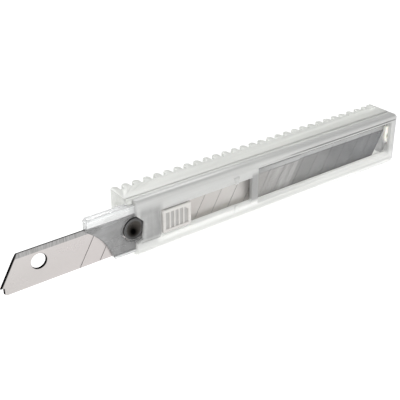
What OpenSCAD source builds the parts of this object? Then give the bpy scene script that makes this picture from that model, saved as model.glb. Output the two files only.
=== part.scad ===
// Dispenser case for snap-off blades, with its front blade drawn out tang first.
// The case stands on its long narrow side: X runs along it, the blades leave
// towards -X, the windows face -Y and the cutting edges point up.
// Inside the modules, x = 0 is the front end of the front cover, y = 0 its outer
// face and z = 0 the underside. place() then moves all of it to the part's origin,
// the middle of the underside's rectangle.

/* [Blade] */
// Width of a blade, from its spine to its cutting edge
blade_w = 9; // [7:0.5:12]
// Thickness of a blade
blade_t = 0.38; // [0.3:0.01:0.5]
// Length of the plain tang, along the cutting edge
tang_l = 19.5; // [15:0.5:24]
// Distance from one score line to the next
segment_l = 5; // [4:0.25:6]
// Number of snap-off segments in front of the tang
segments = 12; // [8:1:14]
// Angle of both ends and of the score lines to the spine
slant = 60; // [50:1:70]
// Width of the ground bevel along the cutting edge
bevel_w = 1.25; // [0.8:0.05:2]
// Thickness left at the cutting edge
edge_t = 0.06; // [0.04:0.01:0.1]
// Width of a score line
score_w = 0.16; // [0.1:0.02:0.3]
// Depth of a score line
score_depth = 0.09; // [0.05:0.01:0.15]
// Diameter of the hole in the tang
hole_d = 3.5; // [2.5:0.1:4]
// Hole centre, behind the tang's upper corner
hole_x = 4.9; // [4:0.1:7]
// Hole centre, above the spine
hole_z = 5.5; // [4.5:0.1:6]
// Height of the step in the tang's lower corner
notch_h = 1.9; // [1:0.1:2.5]
// Depth of that step
notch_d = 0.7; // [0.3:0.1:1]

/* [Stack] */
// Number of spare blades behind the front one
spares = 9; // [4:1:9]
// How far the front blade stands out from the stack
drawn_out = 31.9; // [20:0.1:40]
// Gap between neighbouring blades
stack_gap = 0.02; // [0.01:0.01:0.05]
// Gap between the front blade and the guide in front of it
blade_gap = 0.1; // [0.05:0.05:0.3]
// Gap at each end of the stack
end_gap = 0.1; // [0.1:0.05:0.5]
// Thickness of the follower plate behind the stack
follower_t = 0.4; // [0.3:0.1:0.6]
// Gap around the follower plate
follower_gap = 0.3; // [0.1:0.1:0.6]
// Depth left for the leaf spring
spring_room = 0.6; // [0.5:0.1:1.5]
// Thickness of the leaf spring
spring_t = 0.12; // [0.1:0.02:0.2]
// Height of the leaf spring's strip
spring_h = 5; // [3:0.5:6]

/* [Case] */
// Thickness of the front cover's face
cover_t = 1; // [0.8:0.1:1.5]
// Thickness of the layer that holds the guide and the slider
guide_t = 0.9; // [0.8:0.1:1.4]
// Floor under the spines
floor_t = 1.6; // [1.3:0.1:2.5]
// Free height over the cutting edges
edge_room = 1.2; // [0.8:0.1:2]
// Roof over that free height
roof_t = 2.35; // [2.2:0.05:3]
// Back wall, without its ribs
back_t = 0.6; // [0.5:0.05:1.5]
// How far the rear shell stands in front of the cover
shell_lead = 1.2; // [0.9:0.1:2]
// Front end wall of the rear shell
end_wall = 0.7; // [0.5:0.1:0.9]
// Number of grip ribs on the back
ribs = 29; // [20:1:40]
// Width of a rib, which is also the diameter of its round edge
rib_w = 1.9; // [1.2:0.1:2.2]
// Depth of a rib behind the back wall
rib_depth = 2; // [1.2:0.1:3]
// Plain block behind the last rib, as deep as the ribs
end_block = 1.5; // [1:0.1:4]
// Chamfer on the shell's lower front corner
toe = 1.1; // [0.5:0.1:2]
// Rim around the shallow recess in the front end wall
recess_rim = 0.8; // [0.4:0.1:1.5]
// Depth of that recess
recess_depth = 0.35; // [0.1:0.05:0.4]
// Chamfer along the cover's two long edges
edge_chamfer = 0.35; // [0.1:0.05:0.6]
// Depth of the fine groove along the cover's foot
groove_d = 0.2; // [0.1:0.05:0.4]
// Width of that groove
groove_w = 0.9; // [0.8:0.1:1.2]

/* [Windows] */
// Width of the post at the front of the cover
post_w = 6.5; // [6:0.1:8]
// Length of the slider's window
slot_l = 26.8; // [22:0.2:30]
// Bar between the two windows
divider_w = 1.8; // [1.6:0.1:3]
// Solid end of the cover behind the long window
end_bar = 1.5; // [1:0.1:3]
// Lower edge of the slider's window, above the spines
slot_sill = 2.4; // [2:0.1:3.5]
// Upper edge of the slider's window, below the cutting edges
slot_drop = 0.45; // [0:0.05:1]
// Lower edge of the long window, above the spines
view_sill = 1.7; // [1.5:0.05:3.5]
// Upper edge of the long window, above the cutting edges
view_rise = 1.55; // [0:0.05:1.8]
// Thickness of the clear pane
pane_t = 0.5; // [0.4:0.1:0.8]
// Width of the rebate that holds the pane
pane_lap = 0.4; // [0.3:0.1:0.5]
// Slope on the outside of a window's lower edge
sill_slope = 0.7; // [0.3:0.1:0.9]
// Depth of the scallop in the post
scallop_bite = 2.1; // [1:0.1:3]
// Half the height of the scallop
scallop_half = 3.5; // [2.5:0.1:4]
// Width of a detent wedge on the rails of the slider's window
detent_w = 1.6; // [1:0.1:2]
// Height of a wedge in front of the cover
detent_proud = 0.25; // [0.1:0.05:0.3]

/* [Guide tongue] */
// Length of the tongue in front of the cover
nose_l = 12; // [9:0.5:16]
// Rim of the tongue over the cutting edge
nose_rim = 2.4; // [1.2:0.1:2.6]
// Lip of the tongue under the spine
nose_lip = 0.4; // [0.3:0.05:0.9]
// Back wall of the tongue
nose_back_t = 0.5; // [0.4:0.1:0.8]
// Radius of the finger cut-out
cut_r = 16.6; // [14:0.2:20]
// Centre of the cut-out, in front of the tongue
cut_ahead = 9.3; // [8:0.1:12]
// Centre of the cut-out, below the tongue
cut_below = 4.85; // [3:0.05:8]

/* [Slider] */
// Length of the thumb pad
pad_l = 7.7; // [6:0.1:9]
// Height of the pad in front of the cover
pad_proud = 0.4; // [0.2:0.1:0.8]
// Gap between the pad and its window, at each end
pad_gap = 0.2; // [0.1:0.05:0.4]
// Gap above and below the pad
pad_side_gap = 0.25; // [0.2:0.05:0.4]
// Width of the pad's raised rim
pad_rim = 0.7; // [0.5:0.1:1]
// Number of grip ridges in the pad
pad_ridges = 4; // [2:1:6]
// Width of a ridge
ridge_w = 0.4; // [0.2:0.1:0.6]
// Depth of the dish between the pad's rims
pad_dish = 0.35; // [0.2:0.05:0.5]
// How far the carriage reaches beyond the pad, lengthwise
carriage_lap = 0.5; // [0.4:0.1:0.8]
// How far the carriage reaches behind the window's long edges
flange = 1.2; // [0.8:0.1:1.4]
// Running gap around the carriage
run_gap = 0.05; // [0.03:0.01:0.1]
// How far the feed finger reaches in front of the pad
finger_reach = 6.9; // [6:0.1:8]
// Thickness of the feed finger's strip
finger_t = 0.3; // [0.2:0.05:0.4]
// Width of the feed finger's strip
finger_w = 3; // [2:0.1:4]
// Radius of the feed finger's round head
head_r = 2.6; // [2:0.1:3]
// Gap between that head and its slot
head_gap = 0.4; // [0.2:0.05:0.6]
// Radius of the rivets that hold the finger
rivet_r = 0.4; // [0.3:0.05:0.5]
// Distance between the rivets
rivet_pitch = 2.2; // [1.5:0.1:2.5]
// Radius of the pegs that hold the pad
peg_r = 0.5; // [0.3:0.05:0.6]

/* [End plug] */
// Depth of the plug inside the case
plug_depth = 0.8; // [0.8:0.1:3]
// Thickness of the plug's outer plate
plate_t = 1; // [0.8:0.1:2]
// How far the plate stays inside the case's outline, above and at the sides
plate_inset = 0.9; // [0.3:0.1:1.5]
// Gap around the plug
plug_gap = 0.05; // [0.03:0.01:0.1]
// Length of the plug's latch tab
tab_l = 2.4; // [1.8:0.1:3]
// Height of that tab
tab_h = 5.2; // [4:0.1:7]
// Radius of the eye in the tab
eye_r = 0.6; // [0.4:0.1:0.8]

/* [Hidden] */
$fn = 64;
cut = 1; // how far a cutting shape runs past the face that it opens

// Lengthwise places
blade_l = tang_l + segments * segment_l;
tang_lead = (blade_w - notch_h) / tan(slant);
stack_x = tang_lead + end_wall + end_gap - shell_lead;
drawn_x = stack_x - drawn_out;
plug_x = stack_x + blade_l + end_gap;
case_l = plug_x + plug_depth;
view_x = post_w + slot_l + divider_w;
view_end = case_l - end_bar;
shell_l = case_l + shell_lead;
rib_pitch = (shell_l - end_block) / ribs;

// Layers from the front to the back
parting_y = cover_t + guide_t;
blade_y = parting_y + blade_gap;
leaf_pitch = blade_t + stack_gap;
follower_y = blade_y + (spares + 1) * leaf_pitch;
spring_y = follower_y + follower_t;
back_y = spring_y + spring_room;
rib_y = back_y + back_t;
rib_root = 0.2;
case_d = rib_y + rib_depth;

// Leaf spring and its seats in the follower
spring_in = 10;
spring_x = [stack_x + spring_in, stack_x + blade_l - spring_in];
spring_play = 0.02;
waves = 4;
seat_l = 6;
seat_d = 0.1;
seat_gap = 0.2;

// Levels from the underside up
edge_z = floor_t + blade_w;
cavity_z = edge_z + edge_room;
case_h = cavity_z + roof_t;
slot_z = [floor_t + slot_sill, edge_z - slot_drop];
view_z = [floor_t + view_sill, edge_z + view_rise];
hole_level = floor_t + hole_z;

// Guide tongue
nose_z = [floor_t - nose_lip, edge_z + nose_rim];
nose_end = -shell_lead - run_gap;
nose_back_y = blade_y + blade_t + blade_gap;
nose_d = nose_back_y + nose_back_t;
nose_corner = 0.5;
tail_l = post_w - flange / 2;

// Scallop and detent wedges
scallop_lean = 0.5;
detent_in = 5;
detent_x = post_w + slot_l - detent_in;
detent_tip = 0.15;
detent_root = 0.3;

// Slider
pad_x = post_w + pad_gap;
pad_z = slot_z + [pad_side_gap, -pad_side_gap];
travel = slot_l - pad_l - 2 * pad_gap;
carriage_x = [pad_x - carriage_lap, pad_x + pad_l + carriage_lap];
carriage_y = [cover_t + run_gap, parting_y - run_gap];
carriage_z = [slot_z[0] - flange, slot_z[1] + flange];
pocket_end = carriage_x[1] + travel + pad_gap;
finger_y = carriage_y[1] - finger_t;
head_x = pad_x - finger_reach;
rivet_in = 1.5;
rivet_x = [pad_x + rivet_in, pad_x + rivet_in + rivet_pitch];
finger_tail = 1;
finger_end = rivet_x[1] + finger_tail;
peg_in = 1.4;
peg_x = [pad_x + peg_in, pad_x + pad_l - peg_in];
peg_side = 0.8;
peg_z = pad_z + [peg_side, -peg_side];

// Latch tab, in the same layer as the guide, behind the end of the long window
tab_x = case_l - tab_l;
tab_z = [edge_z - tab_h, edge_z];
pane_x = [view_x - pane_lap, tab_x - 4 * plug_gap];

// The whole part's box, for the origin
low_x = drawn_x - tang_lead;
high_x = case_l + plate_t;
low_y = -pad_proud;

module place() {
    translate([-(low_x + high_x) / 2, -(low_y + case_d) / 2, 0]) children();
}

// A box between two corners
module block(low, high) {
    translate(low) cube(high - low);
}

// A flat outline in X and Z, made solid from y0 to y1
module upright(y0, y1) {
    translate([0, y1, 0]) rotate([90, 0, 0]) linear_extrude(y1 - y0) children();
}

// A cross-section in Y and Z, made solid from x0 to x1
module lengthwise(x0, x1) {
    translate([x0, 0, 0]) rotate([90, 0, 90]) linear_extrude(x1 - x0) children();
}

// A round bar along Y
module peg(x, z, r, y0, y1) {
    translate([x, y1, z]) rotate([90, 0, 0]) cylinder(h = y1 - y0, r = r);
}

module blade_outline() {
    foot = -tang_lead + notch_d;
    foot_corner = 0.5;
    polygon([
        [0, blade_w], [-tang_lead, notch_h], [foot, notch_h], [foot, foot_corner],
        [foot + foot_corner, 0], [blade_l - blade_w / tan(slant), 0], [blade_l, blade_w]
    ]);
}

// One blade with its upper tang corner at x and its front face at y
module blade(x, y) {
    bevel_z = blade_w - bevel_w;
    side = (blade_t - edge_t) / 2;
    translate([x, y, floor_t])
        difference() {
            intersection() {
                upright(0, blade_t) blade_outline();
                lengthwise(-blade_w, blade_l + blade_w)
                    polygon([
                        [0, 0], [blade_t, 0], [blade_t, bevel_z],
                        [blade_t - side, blade_w], [side, blade_w], [0, bevel_z]
                    ]);
            }
            peg(hole_x, hole_z, hole_d / 2, -cut, blade_t + cut);
            for (i = [0:segments - 1])
                upright(-cut, score_depth)
                    translate([tang_l + i * segment_l, blade_w]) rotate(slant)
                        square([4 * blade_w, score_w], center = true);
        }
}

module front_blade() {
    color("lightgray") place() blade(drawn_x, blade_y);
}

module spare_blade(i) {
    color("silver") place() blade(stack_x, blade_y + i * leaf_pitch);
}

// A grip rib with a round edge, its front flank at x = 0
module rib() {
    translate([0, rib_y - rib_root, 0]) cube([rib_w, rib_depth + rib_root - rib_w / 2, case_h]);
    translate([rib_w / 2, case_d - rib_w / 2, 0]) cylinder(h = case_h, r = rib_w / 2);
}

module rear_shell() {
    color("gainsboro", 0.6) place() difference() {
        union() {
            block([-shell_lead, parting_y, 0], [case_l, rib_y, case_h]);
            for (i = [0:ribs - 1]) translate([-shell_lead + i * rib_pitch, 0, 0]) rib();
            block([case_l - end_block, parting_y, 0], [case_l, case_d, case_h]);
        }
        // room for the stack, the follower and the spring, open to the front and the plug
        block([end_wall - shell_lead, -cut, floor_t], [case_l + cut, back_y, cavity_z]);
        // slot for the front blade beside the tongue
        block([-shell_lead - cut, -cut, floor_t - blade_gap],
              [end_wall, nose_d + run_gap, edge_z + blade_gap]);
        // shallow recess in the front end wall
        block([-shell_lead - cut, nose_d + recess_rim, floor_t + recess_rim],
              [recess_depth - shell_lead, rib_y - recess_rim, cavity_z]);
        // chamfered toe
        translate([-shell_lead, 0, 0]) rotate([0, 45, 0])
            cube([toe * sqrt(2), 4 * case_d, toe * sqrt(2)], center = true);
    }
}

module cover_section() {
    c = edge_chamfer;
    polygon([
        [c, 0], [parting_y, 0], [parting_y, case_h], [c, case_h], [0, case_h - c],
        [0, floor_t], [groove_d, floor_t - groove_d],
        [groove_d, floor_t - groove_w + groove_d], [0, floor_t - groove_w], [0, c]
    ]);
}

// Window in the cover, its lower edge sloped on the outside
module window(x0, x1, z) {
    lengthwise(x0, x1)
        polygon([
            [-cut, z[0] - sill_slope - cut], [0, z[0] - sill_slope], [sill_slope, z[0]],
            [parting_y + cut, z[0]], [parting_y + cut, z[1]], [-cut, z[1]]
        ]);
}

module front_cover() {
    color("whitesmoke", 0.6) place() {
        difference() {
            lengthwise(0, case_l) cover_section();
            window(post_w, post_w + slot_l, slot_z);
            window(view_x, view_end, view_z);
            // rebate for the pane
            block([pane_x[0], parting_y - pane_t, view_z[0] - pane_lap],
                  [pane_x[1], parting_y + cut, view_z[1] + pane_lap]);
            // pocket for the tongue's tail
            block([-cut, cover_t, nose_z[0] - run_gap],
                  [tail_l + run_gap, parting_y + cut, nose_z[1] + run_gap]);
            // pocket for the carriage
            block([tail_l, cover_t, carriage_z[0] - 2 * run_gap],
                  [pocket_end, parting_y + cut, carriage_z[1] + 2 * run_gap]);
            // pocket for the latch tab
            block([tab_x - 2 * plug_gap, cover_t, tab_z[0] - 2 * plug_gap],
                  [case_l + cut, parting_y + cut, tab_z[1] + 2 * plug_gap]);
            // scallop in the post, around the feed finger's head
            upright(-cut, cover_t + cut)
                translate([0, hole_level])
                    polygon([
                        [-cut, scallop_half], [0, scallop_half],
                        [scallop_bite, scallop_half - scallop_bite],
                        [scallop_bite - scallop_lean, scallop_lean - scallop_half],
                        [0, -scallop_half], [-cut, -scallop_half]
                    ]);
        }
        // detent wedges across the two rails
        for (side = [0, 1])
            upright(-detent_proud, detent_root)
                translate([detent_x, slot_z[side]]) mirror([0, side])
                    polygon([
                        [-detent_w / 2, -detent_w], [detent_w / 2, -detent_w],
                        [detent_w / 4, detent_tip], [-detent_w / 4, detent_tip]
                    ]);
    }
}

module guide_tongue() {
    color("lightgray", 0.6) place() difference() {
        union() {
            block([-nose_l, cover_t, nose_z[0]], [tail_l, parting_y, nose_z[1]]);
            block([-nose_l, cover_t, nose_z[0]], [nose_end, nose_d, nose_z[1]]);
        }
        // channel for one blade
        block([-nose_l - cut, parting_y, floor_t - blade_gap / 2],
              [nose_end + cut, nose_back_y, edge_z + blade_gap]);
        // finger cut-out
        peg(-nose_l - cut_ahead, nose_z[0] - cut_below, cut_r, -cut, nose_d + cut);
        // slot that the feed finger's head runs in
        peg(head_x, hole_level, head_r + head_gap, -cut, parting_y);
        block([head_x, -cut, hole_level - head_r - head_gap],
              [tail_l + cut, parting_y, hole_level + head_r + head_gap]);
        // corner broken on the nose
        translate([-nose_l, 0, nose_z[1]]) rotate([0, 45, 0])
            cube([nose_corner * sqrt(2), 4 * case_d, nose_corner * sqrt(2)], center = true);
    }
}

module window_pane() {
    lap = pane_lap - run_gap;
    color("azure", 0.3) place()
        block([pane_x[0] + run_gap, parting_y - pane_t, view_z[0] - lap],
              [pane_x[1] - run_gap, parting_y, view_z[1] + lap]);
}

module follower_plate() {
    g = follower_gap;
    color("ivory") place() difference() {
        block([end_wall - shell_lead + g, follower_y, floor_t + g],
              [plug_x - g, spring_y, cavity_z - g]);
        // two shallow seats for the spring's feet
        for (x = spring_x)
            block([x - seat_l / 2, spring_y - seat_d, hole_level - spring_h / 2 - seat_gap],
                  [x + seat_l / 2, spring_y + cut, hole_level + spring_h / 2 + seat_gap]);
    }
}

// The spring is a strip bent in four shallow waves
module leaf_spring() {
    steps = 16 * waves;
    length = spring_x[1] - spring_x[0];
    lift = (spring_room - spring_t) / 2 - spring_play;
    mid_y = spring_y + spring_room / 2;
    line = [for (i = [0:steps])
        [spring_x[0] + length * i / steps, mid_y - lift * cos(360 * waves * i / steps)]];
    color("dimgray") place()
        translate([0, 0, hole_level - spring_h / 2]) linear_extrude(spring_h)
            polygon(concat(
                [for (p = line) p - [0, spring_t / 2]],
                [for (i = [steps:-1:0]) line[i] + [0, spring_t / 2]]));
}

module slider_carriage() {
    color("whitesmoke") place() difference() {
        block([carriage_x[0], carriage_y[0], carriage_z[0]],
              [carriage_x[1], carriage_y[1], carriage_z[1]]);
        // seat for the feed finger
        block([carriage_x[0] - cut, finger_y, hole_level - finger_w / 2 - 2 * run_gap],
              [finger_end + 2 * run_gap, carriage_y[1] + cut,
               hole_level + finger_w / 2 + 2 * run_gap]);
        for (x = rivet_x) peg(x, hole_level, rivet_r, -cut, parting_y + cut);
        for (x = peg_x, z = peg_z) peg(x, z, peg_r, -cut, parting_y + cut);
    }
}

module thumb_pad() {
    face_y = -pad_proud;
    floor_y = face_y + pad_dish;
    inner_x = [pad_x + pad_rim, pad_x + pad_l - pad_rim];
    inner_z = [pad_z[0] + pad_rim, pad_z[1] - pad_rim];
    ridge_step = (inner_x[1] - inner_x[0]) / (pad_ridges + 1);
    ridge_drop = 0.1;
    peg_root = 0.3;
    color("gainsboro") place() {
        difference() {
            block([pad_x, face_y, pad_z[0]], [pad_x + pad_l, carriage_y[0], pad_z[1]]);
            block([inner_x[0], face_y - cut, inner_z[0]], [inner_x[1], floor_y, inner_z[1]]);
        }
        for (i = [1:pad_ridges])
            block([inner_x[0] + i * ridge_step - ridge_w / 2, face_y + ridge_drop, inner_z[0]],
                  [inner_x[0] + i * ridge_step + ridge_w / 2, floor_y, inner_z[1]]);
        // round stop on the upper rear corner
        peg(inner_x[1], inner_z[1], pad_rim, face_y, carriage_y[0]);
        // pegs into the carriage
        for (x = peg_x, z = peg_z) peg(x, z, peg_r, carriage_y[0] - peg_root, finger_y - run_gap);
    }
}

module feed_finger() {
    dish = carriage_y[1] - carriage_y[0];
    head_rim = 0.3;
    pip_gap = 0.2;
    color("dimgray") place() difference() {
        union() {
            block([head_x, finger_y, hole_level - finger_w / 2],
                  [finger_end, carriage_y[1], hole_level + finger_w / 2]);
            peg(head_x, hole_level, head_r, carriage_y[0], carriage_y[1]);
            // pip that drops into a blade's hole
            translate([head_x, carriage_y[1], hole_level]) rotate([-90, 0, 0])
                cylinder(h = blade_gap, r1 = hole_d / 2 - pip_gap, r2 = hole_d / 2 - 2 * pip_gap);
        }
        // cone pressed in from the front
        translate([head_x, carriage_y[0], hole_level]) rotate([-90, 0, 0])
            cylinder(h = dish, r1 = head_r - head_rim, r2 = head_rim);
        for (x = rivet_x) peg(x, hole_level, rivet_r, -cut, parting_y + cut);
    }
}

module finger_rivets() {
    color("silver") place()
        for (x = rivet_x) peg(x, hole_level, rivet_r, carriage_y[0], carriage_y[1]);
}

module end_plug() {
    g = plug_gap;
    color("whitesmoke", 0.7) place() {
        block([plug_x, parting_y + g, floor_t + g], [case_l, back_y - g, cavity_z - g]);
        block([case_l, plate_inset / 2, plate_inset / 2],
              [case_l + plate_t, rib_y - plate_inset / 2, case_h - plate_inset]);
    }
}

// The tab's lower corner is a quarter round
module latch_tab() {
    round_z = tab_z[0] + tab_l;
    color("khaki") place() difference() {
        union() {
            block([tab_x, cover_t + plug_gap, round_z], [case_l, parting_y - plug_gap, tab_z[1]]);
            intersection() {
                peg(case_l, round_z, tab_l, cover_t + plug_gap, parting_y - plug_gap);
                block([tab_x - cut, 0, tab_z[0] - cut], [case_l, parting_y, round_z]);
            }
        }
        peg(tab_x + tab_l / 2, round_z, eye_r, 0, parting_y);
    }
}

rear_shell();
front_cover();
guide_tongue();
window_pane();
follower_plate();
leaf_spring();
slider_carriage();
thumb_pad();
feed_finger();
finger_rivets();
end_plug();
latch_tab();
front_blade();  // blade_01
for (i = [1:spares])
    spare_blade(i);
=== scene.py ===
# Looks of a dispenser case for snap-off blades: frosted shells, steel blades, thumb slider and end plug.
import math

import bpy
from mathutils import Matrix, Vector


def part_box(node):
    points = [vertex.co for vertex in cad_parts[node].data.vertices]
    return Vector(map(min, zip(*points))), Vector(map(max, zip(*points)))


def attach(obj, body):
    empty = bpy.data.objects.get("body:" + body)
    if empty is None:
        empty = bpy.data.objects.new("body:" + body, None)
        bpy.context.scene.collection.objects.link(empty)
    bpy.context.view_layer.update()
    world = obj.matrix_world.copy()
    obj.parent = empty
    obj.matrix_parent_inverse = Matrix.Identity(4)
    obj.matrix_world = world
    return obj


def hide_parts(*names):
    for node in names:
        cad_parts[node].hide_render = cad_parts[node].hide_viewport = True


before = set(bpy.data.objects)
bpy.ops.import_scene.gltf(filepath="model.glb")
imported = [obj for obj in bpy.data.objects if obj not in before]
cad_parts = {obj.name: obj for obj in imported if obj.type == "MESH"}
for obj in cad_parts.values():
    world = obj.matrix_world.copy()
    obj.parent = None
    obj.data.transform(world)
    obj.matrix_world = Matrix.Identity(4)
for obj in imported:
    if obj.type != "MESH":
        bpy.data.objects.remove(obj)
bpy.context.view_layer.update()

# ---------------------------------------------------------------- studio
# The case lies on a lit white sheet inside a light tent, with one soft lamp low in front and one high
# behind. Places on the object are millimetres from the front, outer, lower corner of the front cover.
mm = 0.001
cover_depth = 1.9
corner = Vector((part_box("front_cover")[0].x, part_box("rear_shell")[0].y - cover_depth * mm, 0))


def at(x, y, z):
    return corner + Vector((x, y, z)) * mm


camera = bpy.data.objects.new("camera", bpy.data.cameras.new("camera"))
bpy.context.scene.collection.objects.link(camera)
bpy.context.scene.camera = camera
azimuth, elevation, distance = math.radians(-36.98), math.radians(28.18), 0.1911
back = Vector((math.sin(azimuth) * math.cos(elevation), -math.cos(azimuth) * math.cos(elevation),
               math.sin(elevation)))
camera.location = at(17.3, 0, 9.25) + back * distance
camera.rotation_euler = (-back).to_track_quat("-Z", "Y").to_euler()
camera.data.lens = 74.26
camera.data.clip_start = 0.01

bpy.ops.object.select_all(action="DESELECT")
bpy.ops.mesh.primitive_plane_add(size=40, location=(0, 0, 0))
floor = bpy.context.object
floor.name = "floor"

world = bpy.data.worlds.new("tent")
bpy.context.scene.world = world
world.use_nodes = True
tent = world.node_tree.nodes["Background"].inputs
tent["Color"].default_value = (1, 1, 1, 1)
tent["Strength"].default_value = 0.62
bpy.context.scene.view_settings.view_transform = "Standard"


def soft_lamp(name, place, size, power):
    lamp = bpy.data.objects.new(name, bpy.data.lights.new(name, "AREA"))
    bpy.context.scene.collection.objects.link(lamp)
    lamp.data.size = size
    lamp.data.energy = power
    lamp.location = place
    lamp.rotation_euler = (-Vector(place)).to_track_quat("-Z", "Y").to_euler()


soft_lamp("front_lamp", (-0.25, -0.5, 0.14), 0.25, 0.9)
soft_lamp("back_lamp", (0.1, 0.45, 0.3), 0.3, 1.6)


class Wire:
    """One output of a material's node. Arithmetic on wires adds Math nodes."""

    def __init__(self, tree, socket=None):
        self.tree, self.socket = tree, socket

    def node(self, kind, sockets, settings=None, out=0):
        made = self.tree.nodes.new("ShaderNode" + kind)
        for name, value in (settings or {}).items():
            if name == "stops":
                ramp = made.color_ramp.elements
                ramp[0].position, ramp[0].color = value[0]
                ramp[1].position, ramp[1].color = value[-1]
                for place, colour in value[1:-1]:
                    ramp.new(place).color = colour
            else:
                setattr(made, name, value)
        for name, value in sockets.items():
            if isinstance(value, Wire):
                self.tree.links.new(value.socket, made.inputs[name])
            else:
                made.inputs[name].default_value = value
        return Wire(self.tree, made.outputs[out])

    def math(self, operation, a, b=0.0):
        return self.node("Math", {0: a, 1: b}, {"operation": operation})

    def __add__(self, other):
        return self.math("ADD", self, other)

    def __sub__(self, other):
        return self.math("SUBTRACT", self, other)

    def __rsub__(self, other):
        return self.math("SUBTRACT", other, self)

    def __mul__(self, other):
        return self.math("MULTIPLY", self, other)

    __radd__ = __add__
    __rmul__ = __mul__

    def rise(self, low, high):
        """0 up to low, 1 from high on, and a straight line between them."""
        return self.node("MapRange", {"Value": self, "From Min": low, "From Max": high})

    def blend(self, a, b):
        """The colour a where this wire is 0, and b where it is 1."""
        return self.node("Mix", {0: self, 6: a, 7: b}, {"data_type": "RGBA"}, out=2)

    def ramp(self, *stops):
        return self.node("ValToRGB", {0: self}, {"stops": stops})

    def noise(self, scale, detail=3):
        return self.node("TexNoise", {"Vector": self, "Scale": scale, "Detail": detail})

    def stretched(self, factors):
        return self.node("VectorMath", {0: self, 1: factors}, {"operation": "MULTIPLY"})

    def distance(self, place):
        return self.node("VectorMath", {0: self, 1: place}, {"operation": "DISTANCE"}, out=1)


def new_material(name, **fixed):
    """A material whose shader has the fixed values given, its shader and a wire to build on."""
    material = bpy.data.materials.new(name)
    material.use_nodes = True
    shader = material.node_tree.nodes["Principled BSDF"]
    for socket, value in fixed.items():
        shader.inputs[socket.replace("_", " ")].default_value = value
    return material, shader, Wire(material.node_tree)


def grey(value, warm=0.0):
    return (value + warm, value, value - warm, 1)


sheet, shader, _ = new_material("lit_sheet", Roughness=0.9, Emission_Strength=0.68)
shader.inputs["Base Color"].default_value = grey(0.6)
shader.inputs["Emission Color"].default_value = grey(1)
floor.data.materials.append(sheet)


# ---------------------------------------------------------------- rear shell
# The deep half of the case, moulded in frosted polypropylene: floor, roof, back with its grip ribs,
# and the front end wall that the blades slide past. A fine seam runs along its roof.
def pick(piece):
    """Makes a piece the only one selected, and the one that operators act on."""
    bpy.ops.object.select_all(action="DESELECT")
    piece.select_set(True)
    bpy.context.view_layer.objects.active = piece


def copy_of(node, name):
    """A new piece with a CAD node's shape, its loose triangles merged into whole faces."""
    piece = bpy.data.objects.new(name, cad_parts[node].data.copy())
    bpy.context.scene.collection.objects.link(piece)
    pick(piece)
    bpy.ops.object.mode_set(mode="EDIT")
    bpy.ops.mesh.select_all(action="SELECT")
    bpy.ops.mesh.remove_doubles(threshold=0.001 * mm)
    bpy.ops.mesh.dissolve_limited(angle_limit=math.radians(1))
    bpy.ops.object.mode_set(mode="OBJECT")
    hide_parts(node)
    return piece


def block(name, low, high):
    """A box between two corners in millimetres, with its place in its mesh."""
    low, high = at(*low), at(*high)
    bpy.ops.object.select_all(action="DESELECT")
    bpy.ops.mesh.primitive_cube_add(size=1, location=(low + high) / 2, scale=high - low)
    bpy.ops.object.transform_apply(location=True, rotation=True, scale=True)
    bpy.context.object.name = name
    return bpy.context.object


def cut(piece, tool, operation="DIFFERENCE"):
    """Takes a tool's shape out of a piece, or adds it, and throws the tool away."""
    boolean = piece.modifiers.new("cut", "BOOLEAN")
    boolean.operation = operation
    boolean.solver = "EXACT"
    boolean.object = tool
    bpy.context.view_layer.objects.active = piece
    bpy.ops.object.modifier_apply(modifier="cut")
    bpy.data.objects.remove(tool)


def round_edges(piece, width, segments=2):
    """Rounds the sharp edges, as a mould does, and smooths the faces between them."""
    pick(piece)
    bevel = piece.modifiers.new("edges", "BEVEL")
    bevel.width = width * mm
    bevel.segments = segments
    bevel.angle_limit = math.radians(32)
    bevel.harden_normals = True
    bpy.ops.object.modifier_apply(modifier="edges")
    bpy.ops.object.shade_smooth_by_angle(angle=math.radians(40))


def fit_out(piece, body, material):
    """Gives a piece its material and the body it moves with."""
    piece.data.materials.clear()
    piece.data.materials.append(material)
    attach(piece, body)


def feed(shader, **wires):
    for socket, wire in wires.items():
        wire.tree.links.new(wire.socket, shader.inputs[socket.replace("_", " ")])


def places(wire):
    """A wire for the spot on the case in millimetres, and wires for its X, Y and Z."""
    spot = wire.node("TexCoord", {}, out=3)
    moved = wire.node("VectorMath", {0: spot, 1: corner}, {"operation": "SUBTRACT"})
    spot = wire.node("VectorMath", {0: moved, 3: 1 / mm}, {"operation": "SCALE"})
    return spot, [wire.node("SeparateXYZ", {0: spot}, out=i) for i in range(3)]


def frosted(name, colour, clear, roughness, shade=None):
    """Milky polypropylene: light passes and is scattered, and the skin has a fine mould grain.
    shade gets the wires of a place, and gives how far painted shade greys the plastic there, from 0 to 1."""
    # Emission in the plastic's own tone is a faint painted glow that lifts it.
    material, shader, wire = new_material(name, IOR=1.49, Transmission_Weight=clear,
                                          Emission_Strength=0.07)
    spot, (x, y, z) = places(wire)
    streaks = spot.stretched((0.04, 1, 1)).noise(0.9, 2)
    tone = streaks.rise(0.3, 0.7).blend(tuple(c * 0.88 for c in colour) + (1,), colour + (1,))
    if shade:
        tone = shade(wire, spot, x, y, z).blend(tone, grey(0.3))
    grain = wire.node("Bump", {"Strength": 0.08, "Distance": 0.02 * mm, "Height": spot.noise(12, 1)})
    feed(shader, Base_Color=tone, Emission_Color=tone, Roughness=streaks * 0.12 + roughness, Normal=grain)
    return material


case_length = (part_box("front_cover")[1].x - corner.x) / mm
case_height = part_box("front_cover")[1].z / mm
seam_y, seam_w, seam_d, above_roof = 2.7, 0.35, 0.3, 20


# Painted shade: the roof is darker towards its front, and darker in a band along the seam.
def case_shade(wire, spot, x, y, z):
    roof = z.rise(case_height - 1, case_height - 0.6)
    seam = y.rise(seam_y - 0.5, seam_y) * y.rise(seam_y + 0.9, seam_y + 0.4)
    return roof * (y.rise(6, 3) * 0.2 + seam * 0.3)


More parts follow.
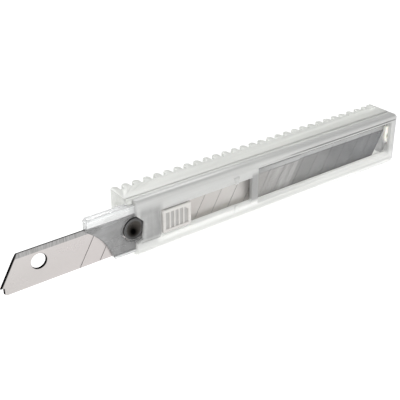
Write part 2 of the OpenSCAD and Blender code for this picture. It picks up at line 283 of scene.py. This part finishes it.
case_finish = frosted("frosted_case", (0.87, 0.88, 0.85), 0.5, 0.32, case_shade)
rear_shell = copy_of("rear_shell", "rear_case_shell")
cut(rear_shell, block("seam", (-5, seam_y, case_height - seam_d),
                      (case_length + 5, seam_y + seam_w, above_roof)))
round_edges(rear_shell, 0.14)
fit_out(rear_shell, "case", case_finish)


# ---------------------------------------------------------------- blades
# Carbon steel strip, ground along one edge, scored across for snapping off, with a hole in the tang.
# The drawn blade is bright, and painted shade darkens it inside the case; the spares are painted in
# shade, greyer and bluer towards the far end.
blade_w, tang_lead, slant, floor_level = 9.0, 4.099, math.radians(60), 1.6
bevel_foot, hole_x, hole_z, hole_r = 7.7, 4.9, 5.5, 1.75
# crescent sets the painted shadow round the hole off towards its lower right.
crescent = 0.12


def strip_steel(name, tang_x, dull, haze, tone_of):
    """tang_x is where the upper corner of the tang lies, haze is how much painted light lifts the dark
    faces inside the case and how strong the painted glints are, and tone_of gives the colour of the flat
    faces."""
    material, shader, wire = new_material(name, Specular_IOR_Level=0.0)
    spot, (x, y, z) = places(wire)
    level = z - floor_level
    cloud = spot.noise(0.22, 4)
    # The bevel is scratched by grinding. Inside the case it is painted lighter, with painted shade below
    # it.
    marks = spot.stretched((9, 1, 0.25)).noise(1.2, 4)
    bevel = level.rise(bevel_foot, bevel_foot + 0.1)
    inside = x.rise(35, 45)
    ground = marks.rise(0.3, 0.7).blend(grey(0.25, 0.004), grey(0.5, 0.004))
    ground = (inside * 0.7).blend(ground, grey(0.62))
    crease_shade = (level.rise(bevel_foot - 0.1, bevel_foot) * level.rise(bevel_foot + 0.2, bevel_foot + 0.1)
              * inside * 0.7)
    # Scores and cut walls are painted near black as shade, and so are painted dark bands on the tang's
    # slanted end, on its foot and along the cutting edge, and a painted shadow crescent beside the hole.
    # Inside the case they are painted lighter, as haze.
    across = wire.node("SeparateXYZ", {0: wire.node("TexCoord", {}, out=1)}, out=1)
    along = (x - tang_x) * math.sin(slant) - (level - blade_w) * math.cos(slant)
    foot = (1 - (x - (tang_x - tang_lead + 0.7)).rise(0.12, 0.3)) * level.rise(1.9, 1.7)
    on_face = wire.node("CombineXYZ", {"X": x - tang_x, "Z": level})
    from_hole = on_face.distance((hole_x + crescent, 0, hole_z - crescent))
    unshaded = (along.rise(0.25, 0.45) * level.rise(blade_w - 0.08, blade_w - 0.26) * (1 - foot)
             * from_hole.rise(hole_r + 0.05, hole_r + 0.17))
    flat = wire.math("ABSOLUTE", across).rise(0.35, 0.7) * unshaded
    dark = x.rise(0, 8).blend(grey(0.004), grey(haze))
    # Broad painted glints lie slanted across the flat face, as the scores do.
    slanted = wire.node("CombineXYZ", {"X": along * 0.45, "Z": level * 0.05})
    glare = slanted.noise(1.6, 3).rise(0.4, 0.65) * x.rise(7, 9)
    face = (glare * haze).blend(tone_of(x, cloud), grey(0.66, 0.01))
    tone = flat.blend(dark, crease_shade.blend(bevel.blend(face, ground), grey(0.06)))
    rough = dull + cloud * 0.15 + bevel * marks * 0.25 + (1 - flat) * 0.3 + x.rise(-1, 3) * 0.25
    scratches = wire.node("Bump", {"Strength": 0.25, "Distance": 0.01 * mm, "Height": bevel * marks})
    feed(shader, Base_Color=tone, Roughness=rough, Metallic=flat, Normal=scratches)
    return material


tang_x = (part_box("blade_01")[0].x - corner.x) / mm + tang_lead
drawn_steel = strip_steel("drawn_steel", tang_x, 0.22, 0.3, lambda x, cloud: (
    (x * 0.01 + cloud * 0.06 + 0.3).ramp(
        (0.0, (0.585, 0.56, 0.545, 1)), (0.31, (0.63, 0.59, 0.58, 1)), (0.4, (0.56, 0.53, 0.51, 1)),
        (0.64, (0.64, 0.62, 0.6, 1)), (0.69, (0.38, 0.365, 0.35, 1)), (0.84, (0.29, 0.283, 0.275, 1)))))
stack_x = (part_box("blade_02")[0].x - corner.x) / mm + tang_lead
spare_steel = strip_steel("spare_steel", stack_x, 0.32, 0.07, lambda x, cloud: (
    (x * 0.01 + cloud * 0.06).ramp(
        (0.3, (0.44, 0.42, 0.41, 1)), (0.53, (0.27, 0.265, 0.255, 1)),
        (0.66, (0.14, 0.14, 0.142, 1)), (0.86, (0.075, 0.08, 0.092, 1)))))
for node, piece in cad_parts.items():
    if node.startswith("blade_"):
        piece.data.materials[0] = drawn_steel if node == "blade_01" else spare_steel

# ---------------------------------------------------------------- follower plate and leaf spring
# A moulded plate with two seats presses the stack forward; a waved strip of spring steel drives it.
# The ivory plastic glows faintly in its own tone: a painted glow.
ivory, shader, wire = new_material("ivory_plastic", Subsurface_Weight=0.2, Subsurface_Scale=0.001,
                                   Emission_Strength=0.1)
spot, _ = places(wire)
tone = spot.noise(0.8).rise(0.3, 0.7).blend((0.88, 0.86, 0.78, 1), (0.95, 0.94, 0.88, 1))
feed(shader, Base_Color=tone, Emission_Color=tone,
     Roughness=spot.noise(3) * 0.2 + 0.3)
follower = copy_of("follower_plate", "stack_follower")
round_edges(follower, 0.08)
fit_out(follower, "case", ivory)

spring_steel, shader, wire = new_material("blued_spring_steel", Metallic=1.0)
spot, _ = places(wire)
feed(shader, Base_Color=spot.noise(0.5).rise(0.3, 0.7).blend(grey(0.32), (0.3, 0.34, 0.42, 1)),
     Roughness=spot.noise(4) * 0.25 + 0.2)
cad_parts["leaf_spring"].data.materials[0] = spring_steel

# ---------------------------------------------------------------- front cover
# The thin half of the case, of the same plastic: a frame round the slider's window and the long window.
# Its front post is set back a little between the rails, and a fine line runs on the upper rail. Painted
# shade greys the plastic above the foot, more on the post and the bar between the windows, where metal
# lies behind, in a dark line along the upper rail's groove and at the top. The foot stays white.
def cover_shade(wire, spot, x, y, z):
    post = x.rise(0.6, 1.4) * x.rise(7.2, 6.2) * z.rise(12.6, 11)
    bar = x.rise(32.8, 33.4) * x.rise(35.6, 35.0) * z.rise(11.5, 10.5)
    line = x.rise(40, 56) * z.rise(12.45, 12.6) * z.rise(12.95, 12.8)
    cloudy = spot.stretched((1, 1, 0.3)).noise(0.6, 2)
    top = z.rise(13.2, 13.9)
    return z.rise(3.0, 4.2) * (0.3 + post * (cloudy * 0.6 + 0.05) + bar * 0.45 + line + top * 0.14)


cover_finish = frosted("frosted_cover", (0.99, 0.995, 0.975), 0.42, 0.3, cover_shade)
cover = copy_of("front_cover", "front_case_cover")
post_back, line_back = 0.3, 0.16
cut(cover, block("post_face", (1.0, -1, 3.4), (6.15, post_back, 10.45)))
cut(cover, block("rail_line", (46, -1, 12.6), (case_length - 3, line_back, 12.8)))
round_edges(cover, 0.11)
fit_out(cover, "case", cover_finish)

# ---------------------------------------------------------------- guide tongue
# A tongue of clearer plastic in front of the case that steers one blade; a finger reaches the blade in
# its cut-out. Its front wall is set back below the top rim, and a round bead frames the finger's slot.
arc_x, arc_z, arc_r, wall_back = -21.3, -3.65, 16.6, 1.2


# Painted shade greys the front wall, more towards its right, with painted shadows at its lower right and
# upper left corners, and a painted dark line along the lower edge of the cut-out.
def tongue_shade(wire, spot, x, y, z):
    wall = z.rise(11.15, 10.9) * z.rise(1.7, 2.0) * y.rise(1.8, 1.5)
    from_arc = wire.node("CombineXYZ", {"X": x, "Z": z}).distance((arc_x, 0, arc_z))
    lip = from_arc.rise(arc_r + 0.22, arc_r + 0.1) * z.rise(8.5, 5) * z.rise(1.6, 1.9) * 2
    shadow = x.rise(-4, -1) * z.rise(4.4, 3.2) * 0.9
    corner_shade = x.rise(-8, -11.5) * z.rise(9, 10) * 0.5
    clouds = spot.noise(0.3) * 0.7
    return wall * (x.rise(-14, 1) * 0.5 + clouds + 0.31 + shadow + corner_shade) + lip


guide_finish = frosted("frosted_guide", (0.92, 0.93, 0.93), 0.5, 0.2, tongue_shade)
tongue = copy_of("guide_tongue", "blade_guide_tongue")
cut(tongue, block("wall_face", (-13, 0, 2.0), (-0.1, wall_back, 11.2)))
round_edges(tongue, 0.1)
head_x, head_z, slot_r = -0.2, 7.1, 3.0
bpy.ops.object.select_all(action="DESELECT")
bpy.ops.mesh.primitive_torus_add(location=at(head_x, wall_back, head_z), rotation=(math.pi / 2, 0, 0),
                                 major_radius=(slot_r + 0.2) * mm, minor_radius=0.16 * mm,
                                 major_segments=64, minor_segments=10)
bpy.ops.object.transform_apply(location=True, rotation=True, scale=True)
bpy.ops.object.shade_smooth()
bpy.ops.object.mode_set(mode="EDIT")
bpy.ops.mesh.select_all(action="SELECT")
bpy.ops.mesh.bisect(plane_co=at(-0.15, 0, 0), plane_no=(1, 0, 0), clear_outer=True, use_fill=True)
bpy.ops.object.mode_set(mode="OBJECT")
tongue.select_set(True)
bpy.context.view_layer.objects.active = tongue  # the bead stays selected, and is joined to the tongue
bpy.ops.object.join()
fit_out(tongue, "case", guide_finish)

# ---------------------------------------------------------------- window pane
# A clear pane in a rebate behind the long window.
pane_finish, shader, wire = new_material("clear_pane", IOR=1.49)
spot, _ = places(wire)
feed(shader, Base_Color=spot.noise(0.3).rise(0.3, 0.7).blend((0.86, 0.88, 0.88, 1), (1, 1, 1, 1)),
     Roughness=spot.noise(1) * 0.1 + 0.1, Alpha=spot.noise(0.25) * 0.14 + 0.03)
pane = copy_of("window_pane", "long_window_pane")
round_edges(pane, 0.05)
fit_out(pane, "case", pane_finish)

# ---------------------------------------------------------------- slider
# The thumb pad, moulded in clearer plastic with a raised rim, grip ridges and a round stop at one corner,
# is pegged to a carriage that runs behind the window. Painted shade makes the pad greyer between its
# ridges.
def pad_shade(wire, spot, x, y, z):
    return y.rise(-0.15, -0.05) * x.rise(7.2, 7.5) * x.rise(13.9, 13.6) * 0.5


pad_finish = frosted("clear_pad", (0.84, 0.82, 0.79), 0.3, 0.05, pad_shade)
carriage = copy_of("slider_carriage", "slider_runner")
round_edges(carriage, 0.04)
fit_out(carriage, "slider", pad_finish)
pad = copy_of("thumb_pad", "slider_thumb_pad")
bpy.ops.object.select_all(action="DESELECT")
bpy.ops.mesh.primitive_uv_sphere_add(segments=32, ring_count=16, radius=mm,
                                     location=at(13.6, -0.05, 9.2), scale=(0.78, 0.33, 0.68))
bpy.ops.object.transform_apply(location=True, rotation=True, scale=True)
cut(pad, bpy.context.object, "UNION")
round_edges(pad, 0.1, 3)
fit_out(pad, "slider", pad_finish)

# ---------------------------------------------------------------- feed finger
# A strip of spring steel with a round, deeply dished head. Its pip drops into a blade's hole
# and pushes the blade forward. Two rivets hold the strip.
finger_steel, shader, wire = new_material("dished_spring_steel", Specular_IOR_Level=0.0)
spot, _ = places(wire)
# The dish is painted with rings of reflection, dark and light with a bright one near its rim, and a
# painted shadow, nearly black and not metallic, low in its hollow.
dish_y, dish_shadow_y, dish_shadow_drop, to_edge = 1.05, 1.6, 0.9, 0.36
radius = spot.distance((head_x, dish_y, head_z)) * to_edge
dish_light_and_shade = radius.ramp((0.0, grey(0.05, 0.006)), (0.62, grey(0.06, 0.006)), (0.8, grey(0.13)),
                    (0.86, grey(0.07)), (0.93, grey(0.24)), (1.0, grey(0.12)))
dish_shadow = spot.distance((head_x, dish_shadow_y, head_z - dish_shadow_drop))
dish_light_and_shade = dish_shadow.rise(0.5, 2.0).blend(grey(0.001), dish_light_and_shade)
feed(shader, Base_Color=dish_light_and_shade, Roughness=spot.noise(2) * 0.2 + 0.25, Metallic=dish_shadow.rise(0.3, 1.2))
finger = copy_of("feed_finger", "feed_finger_strip")
round_edges(finger, 0.05)
fit_out(finger, "slider", finger_steel)
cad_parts["finger_rivets"].data.materials[0] = drawn_steel

# ---------------------------------------------------------------- end plug
# A frosted plug closes the far end; its ivory tab snaps in behind the end of the long window.
plug_finish = frosted("frosted_plug", (0.86, 0.86, 0.87), 0.5, 0.3)
plug = copy_of("end_plug", "rear_end_plug")
round_edges(plug, 0.15)
fit_out(plug, "plug", plug_finish)
tab = copy_of("latch_tab", "plug_latch_tab")
round_edges(tab, 0.12)
fit_out(tab, "plug", ivory)
